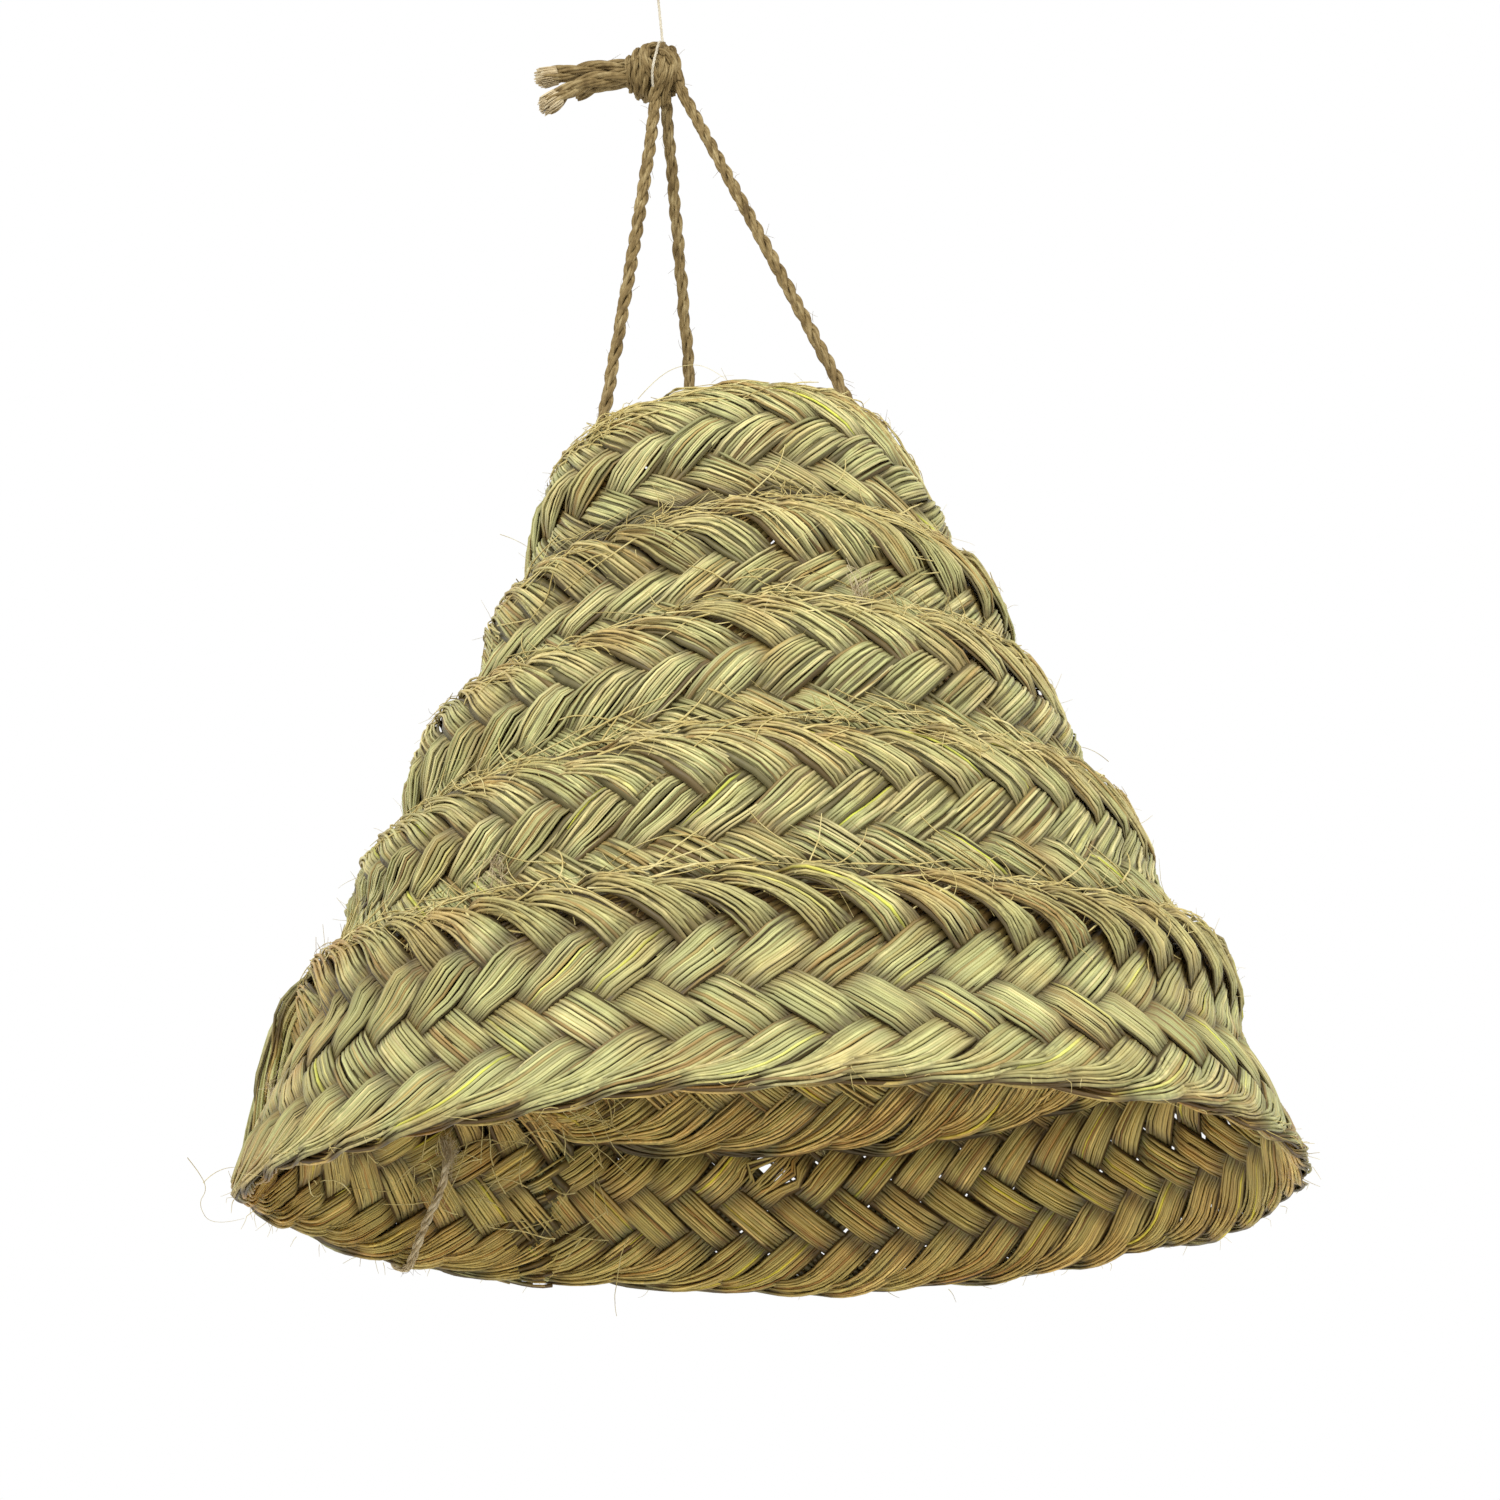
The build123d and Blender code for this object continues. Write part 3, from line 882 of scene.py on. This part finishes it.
JUTE = jute_material("jute", (0.092, 0.057, 0.017), (0.195, 0.134, 0.050), (0.335, 0.258, 0.122))
TWINE = jute_material("thin_twine", (0.38, 0.33, 0.24), (0.52, 0.47, 0.36), (0.62, 0.57, 0.45))
PALE_JUTE = jute_material("pale_jute", (0.30, 0.22, 0.11), (0.50, 0.40, 0.235), (0.64, 0.56, 0.38))
PLAIT = jute_material("sewing_cord", (0.26, 0.18, 0.06), (0.40, 0.30, 0.11), (0.52, 0.42, 0.18))
STRAW = jute_material("loose_straw", (0.34, 0.25, 0.08), (0.53, 0.43, 0.165), (0.68, 0.60, 0.30))

for number, side in enumerate(("left", "right", "back")):
    line = spline_line(CORD_ROUTES[side])
    cord = jute_cord(f"jute_cord_{side}", line, 20 + number, replaced=[f"hanging_cord_{side}"])
    stopper = stopper_knot(side, 40 + 10 * number)

TAIL_RADIUS = 4.0  # untwisted, so thicker than the cords
TAIL_PITCH = 44.0
for number, (place, route) in enumerate(TAIL_ROUTES.items()):
    line = spline_line(route)
    replaced = [f"cord_tail_{place}"]
    tail = jute_cord(f"jute_tail_{place}", line, 30 + number, TAIL_RADIUS, TAIL_PITCH, 0.4, replaced)

# The tails' cut ends, worn soft and pale
end_lines, end_radii = [], []
end_rng = np.random.default_rng(36)
for place in ("upper", "lower"):
    line = spline_line(TAIL_ROUTES[place])
    side, up = (directions[-8] for directions in cross_directions(line))
    base = line[-8]
    ahead = unit(line[-1] - base)
    for _ in range(150):
        turn = end_rng.uniform(0, 2 * pi)
        reach = 4.3 * sqrt(end_rng.uniform(0, 1))
        across = side * cos(turn) + up * sin(turn)
        length = end_rng.uniform(5.0, 6.5) + 4.0 * sqrt(1 - (reach / 4.4) ** 2)
        outward = across * 0.14 + end_rng.normal(0, 0.05, 3)
        share = np.linspace(0, 1, 6)[:, None]
        bend = ahead * share + outward * share * (1 - 0.55 * share)
        end_lines.append(base + across * reach * 0.95 + bend * length)
        end_radii.append(np.linspace(0.34, 0.22, 6))

# The gathering knot: wraps round the tails, and strands that cross the front and the back of it.
# Each is a few points from the knot's middle, in millimetres.
KNOT_RINGS = (  # place along X, radius, how far the top leans to +X and the front to +X
    (-11.2, 6.4, 0.5, 0.5),
    (-7.6, 8.8, 1.0, 0.4),
    (-3.6, 10.4, 2.2, 0.6),
    (1.4, 10.6, 1.8, -1.6),
)
KNOT_STRANDS = (
    ((3, -3, 11.6), (-3, -8.5, 8.6), (-5, -11.4, 1), (-2.5, -11.2, -5), (1, -6.5, -9.5), (0, -1, -10)),
    ((4, -2, 11), (8.2, -6.5, 8), (9.4, -6.8, 1), (9.8, -4, -4), (10.6, -1.5, -9.5), (11.6, -1.2, -12.5)),
    ((-0.8, -8, 3), (2.2, -11.2, 3.4), (6.5, -9.8, 2), (8.8, -6.8, -3.2), (9.4, -3.5, -8)),
    ((0.4, -9.2, 0), (3.4, -10.8, -2.5), (3.2, -9.4, -7), (0.0, -4.5, -11), (-3.0, -1.6, -17)),
    ((6.6, -8.0, -3), (5.8, -7.2, -8), (3.2, -2, -11), (3.2, 2, -16)),
    ((-6, 8.5, 8), (0, 11.3, 3), (5.5, 9.5, -4), (7.0, 3, -8)),
    ((-6, 8.5, -6), (0, 11.6, -1), (5.5, 9, 5), (6.6, 1, 10)),
    ((7.4, 5, -6), (9.6, 1, 0), (7.6, -3, 8)),
)


def gathering_knot():
    """The three hanging cords' knot: rings and strands round a core that closes the gaps."""
    bundles = []
    turn = np.linspace(0, 2 * pi, 49)
    for number, (place, reach, top_lean, front_lean) in enumerate(KNOT_RINGS):
        along = place + top_lean * np.sin(turn) - front_lean * np.cos(turn)
        ring = np.stack([along, -reach * np.cos(turn), reach * 1.06 * np.sin(turn) + 0.5], axis=1)
        thickness = 2.2 if number == 0 else 2.8
        line = even_line(ring + KNOT_CENTRE)
        bundles.append(twisted_lines(line, thickness, 24, plies=3, seed=60 + number))
    for number, strand in enumerate(KNOT_STRANDS):
        line = spline_line((np.array(strand) + KNOT_CENTRE) * MM)
        bundles.append(twisted_lines(line, 2.8, 24, plies=3, seed=70 + number))
    core = np.linspace((-9, 0, 0), (8, 0, -1), 15) + KNOT_CENTRE
    bundles.append(([core], [8.4 * np.sqrt(1 - np.linspace(-0.93, 0.93, 15) ** 2)]))
    around = np.array([(-9, -9, 2), (0, -12, 4), (9, -8, 2), (8, 6, -4), (-6, 8, -6)]) + KNOT_CENTRE
    add_fluff(even_line(around), 1.0, 26, 91, longest=6)
    cord_piece("gathering_knot_wraps", [(join(bundles), 6)], JUTE, ["gathering_knot"])


gathering_knot()
cord_piece("jute_tail_ends", [((end_lines, end_radii), 4)], PALE_JUTE)

# The thin line: a loop for the hook, a small knot, the straight line and its turn round the knot
line_route = [(0, 0, -0.0141), (0, 0, -0.024), (0, 0, -0.034), (0, 0, -0.044)]
thin_line = spline_line(line_route)
thin_piece = cord_piece(
    "thin_line",
    [(twisted_lines(thin_line, LINE_RADIUS, 5, plies=3, yarns=4, seed=80), 5)],
    TWINE,
    ["hang_line"],
    body="line",
)


def ring_line(centre, first, second, count=64):
    """A closed ring through centre + first and centre + second, as an even line."""
    turn = np.linspace(0, 2 * pi, count + 1)[:, None]
    ring = np.array(centre) + np.array(first) * np.cos(turn) + np.array(second) * np.sin(turn)
    return even_line(ring, 0.6)


def twine_rings(name, rings, replaced, body):
    """A piece of the thin line wound in closed rings."""
    bundles = [
        twisted_lines(ring, LINE_RADIUS, 5, plies=3, yarns=4, seed=85 + number)
        for number, ring in enumerate(rings)
    ]
    cord_piece(name, [(join(bundles), 5)], TWINE, [replaced], body)


twine_rings("twine_loop", [ring_line((0, 0, -4), (0, 0, 4.75), (4.75, 0, 0))], "hang_loop", "loop")
loop_wraps = [
    ring_line((0, 0, -11.8 + rise), (1.25, 0, lean), (0, 1.25, -lean))
    for rise, lean in ((-0.5, 0.1), (0.4, -0.3), (1.3, 0.25))
]
twine_rings("twine_knot", loop_wraps, "loop_knot", "loop_knot")
TIE_LOOP = (
    (4.7, 0, 13.9), (3.9, -5.5, 12.6), (2.6, -11.5, 7.5), (1, -14.2, 0), (-1.2, -12.6, -6), (-2, -8, -11.2),
    (-1, 0, -14), (2, 8, -11.4), (4, 13.5, 0), (5, 8, 11.4), (4.7, 0, 13.9),
)
tie_wraps = [
    spline_line((np.array(TIE_LOOP) * (1.04, 1.04, 1.02) + KNOT_CENTRE) * MM),
    ring_line(LINE_END + (0.0, 0, -0.9), (1.2, 0.3, 0.2), (0, 1.1, 0.3)),
]
twine_rings("twine_tie", tie_wraps, "line_tie", "shade")

# A sewing cord runs in each lap, drawn in and out between the two turns' edges
for number in range(1, 5):
    first_winding = -60 + 360 * (4 - number)
    winding = np.arange(first_winding, first_winding + 360.1, 0.25)
    lap_middle = (upper_edge(winding) + lower_edge(winding + 360)) / 2
    stitch = np.radians(winding) * (INNER_RADIUS - lap_middle * sin(WALL_ANGLE)) * 2 * pi / STRAND_PITCH
    blend = smooth_step(winding, first_winding + 330, first_winding + 360)
    lap_middle = lap_middle + blend * (lap_middle[0] - lap_middle[-1])
    ring = wall(winding, lap_middle + 3.0 * np.sin(stitch), 6.2 + 0.8 * np.cos(stitch))
    some = twisted_lines(even_line(ring, 1.6), 1.35, 9, plies=3, yarns=1, seed=100 + number)
    cord_piece(f"lap_stitching_{number}", [(some, 5)], PLAIT, [f"seam_cord_{number}"])

# The jute tie through the wall and round the lower rim, and its knot
TIE_AZIMUTH = -128.0
tie_route = [
    (12, 12.5), (5, 11.5), (1, 5.0), (3, -1.5), (9, -3.6), (20, -4.0), (40, -4.0), (54, -2.6),
    (59, 4.0), (57, 11.0), (48, 14.6), (30, 15.2), (16, 15.4),
]
tie_points = [on_wall(TIE_AZIMUTH + 1 + 0.8 * sin(slope / 9), slope, offset) for slope, offset in tie_route]
tie_line = spline_line(tie_points)
add_fluff(tie_line, 1.7, 90, 120)
tie_yarns = twisted_lines(tie_line, 2.0, 16, plies=3, yarns=4, loosen=0.3, seed=121)
cord_piece("jute_rim_tie", [(tie_yarns, 5)], PALE_JUTE, ["rim_tie"])
knot_middle = wall(TIE_AZIMUTH + 1, 11, 12.6)
knot_out = wall_normal(TIE_AZIMUTH)
knot_up = unit(wall(TIE_AZIMUTH + 1, 29, 12.6) - knot_middle)
knot_across = np.cross(knot_out, knot_up)
knot_bundles = []
for number, (shift, tilt) in enumerate(((-2.2, 0.5), (0.3, -0.6), (2.6, 0.4))):
    ring = ring_line(knot_middle + knot_up * shift, knot_across * 2.9 + knot_up * tilt, knot_out * 2.6)
    knot_bundles.append(twisted_lines(ring, 1.6, 10, yarns=4, seed=130 + number))
for number, (sideways, drop) in enumerate(((5.0, -6.0), (-5.5, -4.5))):
    end = [knot_middle, knot_middle + knot_across * sideways * 0.5 - knot_up * 4 + knot_out]
    end.append(knot_middle + knot_across * sideways + knot_up * drop)
    end_line = spline_line(np.array(end) * MM)
    knot_bundles.append(twisted_lines(end_line, 1.7, 11, yarns=4, loosen=0.9, seed=140 + number))
cord_piece("jute_rim_knot", [(join(knot_bundles), 5)], PALE_JUTE, ["rim_tie_knot"])
cord_piece("jute_fluff", [((fluff_lines, fluff_radii), 3)], JUTE)

# ---- loose straw and fibres


def outer_face(winding, slope):
    """The offset of the braid's outer face, which steps out over each lap."""
    upper = upper_edge(winding)
    step_out = smooth_step(slope, upper - 22, upper - 8) * (1 - smooth_step(slope, upper - 1, upper + 5))
    return WALL_THICKNESS / 2 + 3.4 + LAP_STEP * step_out + wall_swell(winding, slope)


def inner_face(*_):
    """The offset just inside the wall."""
    return -1.5


def loose_line(rng, winding, slope, lift, length, heading, curl, face=outer_face):
    """A curved line that lies near the wall's face. heading is its direction from level, in
    degrees, and lift how far its start, its middle and its end stand off."""
    steps = max(int(length / 1.6), 5)
    step = length / steps
    direction = radians(heading) + np.cumsum(rng.normal(0, 0.05, steps) + curl * step)
    radius = INNER_RADIUS - slope * sin(WALL_ANGLE)
    windings = winding + np.degrees(np.cumsum(np.cos(direction)) * step / radius)
    slopes = slope + np.cumsum(np.sin(direction)) * step
    middle = face(windings, slopes)
    lifts = np.interp(np.linspace(0, 1, steps), (0, 0.4, 1), lift)
    return wall(windings, slopes, middle + lifts)


def loose_straw():
    """Thin blades that have come loose along the laps, some in tangles, and fine hairs."""
    rng = np.random.default_rng(500)
    straws, hairs = ([], []), ([], [])

    def add(bundle, line, thickness):
        bundle[0].append(line)
        bundle[1].append(np.linspace(thickness, thickness * 0.4, len(line)))

    def grow(bundle, place, lifts, lengths, heading, curl, thickness, face=outer_face):
        """Adds a line with its lifts, length, heading, curl and thickness drawn in that order."""
        lift = [rng.uniform(*limits) for limits in lifts]
        length = rng.uniform(*lengths)
        line = loose_line(rng, *place, lift, length, heading(), rng.normal(0, curl), face)
        add(bundle, line, rng.uniform(*thickness))

    def any_way():
        return rng.uniform(0, 360)

    for turn in range(5):
        start = 360 * turn
        last = turn == 4  # nothing stands above the upper rim but a few hairs
        for _ in range(110 if last else 360 - 40 * turn):
            winding = start + rng.uniform(-85, 270)
            slope = upper_edge(winding) + (-2 - abs(rng.normal(0, 6)) if last else rng.normal(0, 6.5))
            heading = rng.normal(0, 12 if last else 22) + rng.choice([0, 180])
            lifts = ((-1.2, 0.3), (0.2, 1.3), (-0.8, 1.8))
            grow(straws, (winding, slope), lifts, (12, 40), lambda: heading, 0.02, (0.25, 0.6))
        for _ in range(2 if last else 11 - turn):
            middle = start + rng.uniform(-80, 265)
            for _ in range(14):
                winding = middle + rng.normal(0, 2.4)
                slope = upper_edge(middle) + rng.normal(-8 if last else 3, 4)
                lifts = ((-1, 1), (0.5, 3), (0, 3))
                grow(straws, (winding, slope), lifts, (7, 20), any_way, 0.1, (0.18, 0.36))
        for _ in range(45 if last else 110 - 14 * turn):
            winding = start + rng.uniform(-85, 270)
            slope = upper_edge(winding) + rng.normal(-6, 5 if last else 14)
            grow(hairs, (winding, slope), ((-1, 0.5), (1, 3), (3, 9)), (5, 15), any_way, 0.06, (0.09, 0.15))
    # threads tied round the lap at the left
    for _ in range(18):
        place = (-79 + rng.normal(0, 1.2), 94 + rng.normal(0, 3))
        lifts = ((0, 1), (0.6, 2), (0, 1.5))
        grow(straws, place, lifts, (20, 30), lambda: 90 + rng.normal(0, 14), 0.02, (0.25, 0.42))
    # loose blades inside at the left, and hairs at the lower rim
    for _ in range(170):
        place = (rng.uniform(-160, -75), rng.uniform(22, 82))
        lifts = ((-1, 1), (-3, -1), (-6, 0))
        grow(straws, place, lifts, (12, 40), lambda: rng.normal(15, 30), 0.02, (0.2, 0.45), inner_face)
    for _ in range(150):
        azimuth = rng.uniform(-180, 180)
        place = (azimuth, lower_edge(azimuth) + rng.uniform(1, 8))
        lifts = ((-4, 0), (-1, 1), (-3, 4))
        grow(hairs, place, lifts, (4, 11), lambda: rng.uniform(180, 360), 0.07, (0.12, 0.2))
    # long hairs: over the upper rim, out of the left corner, and at the left and right
    for route in (
        ((-38, 343, 8), (-31, 352, 9), (-20, 354, 10), (-10, 350, 9), (-1, 337, 7)),
        ((-76, 6, 26), (-78, 4, 20), (-80, 1, 16), (-82, -4, 18), (-88, -7, 14), (-90, 1, 6)),
        ((-79, 2, 18), (-78, 10, 15), (-80, 13, 8)),
        ((-78, 290, 24), (-80, 293, 16), (-80, 290, 6)),
        ((88, 180, 20), (84, 188, 14), (80, 186, 5)),
    ):
        add(hairs, spline_line([on_wall(*place) for place in route]), 0.16)
    cord_piece("loose_straw", [(straws, 3)], STRAW)
    cord_piece("loose_hairs", [(hairs, 3)], STRAW)


def fibre_tuft(rng, place, spread, count):
    """Fine tangled fibres round a place on the wall, as azimuth, slope and offset."""
    lines, radii = [], []
    middle = wall(*place)
    for _ in range(count):
        walk = rng.normal(0, 1, (4, 3)) * spread * (0.5, 0.5, 0.9)
        lines.append(spline_line((middle + walk) * MM))
        radii.append(np.full(len(lines[-1]), rng.uniform(0.07, 0.13)))
    return lines, radii


def climb_edge():
    """Blades that roll round the free edge where the lowest turn climbs over its own start."""
    rng = np.random.default_rng(600)
    lines, radii = [], []
    for _ in range(84):
        start = rng.uniform(236, 268)
        winding = np.linspace(start, min(start + rng.uniform(16, 32), 293), 26)
        roll = rng.uniform(0, 2 * pi) + np.radians(winding * 4.0)
        slope = lower_edge(winding) + 6.5 + 6.0 * np.sin(roll) * rng.uniform(0.5, 1)
        stand_out = climb_offset(winding, slope, 1 - smooth_step(winding, 280, 296))
        offset = 3 + stand_out + wall_swell(winding, slope) - 2.6 + 5.2 * np.cos(roll)
        lines.append(wall(winding, slope, offset))
        radii.append(rng.uniform(0.45, 0.72) * np.sin(np.linspace(0.25, pi - 0.25, 26)) ** 0.4)
    cord_piece("climb_edge", [((lines, radii), 5)], GRASS)


climb_edge()
loose_straw()
tuft_rng = np.random.default_rng(700)
TUFTS = (  # place, spread and number of fibres
    ((-87, 48, 13), 5.5, 40), ((-85, 62, 14), 5.5, 40), ((-80, 97, 13), 5.0, 36),
    ((-127, 54, -5), 5.5, 46), ((-70, 334, 8), 4.5, 26), ((20, 216, 10), 6.0, 22), ((-32, 93, 9), 6.0, 20),
)
cord_piece("pale_fluff", [(fibre_tuft(tuft_rng, *tuft), 3) for tuft in TUFTS], PALE_JUTE)
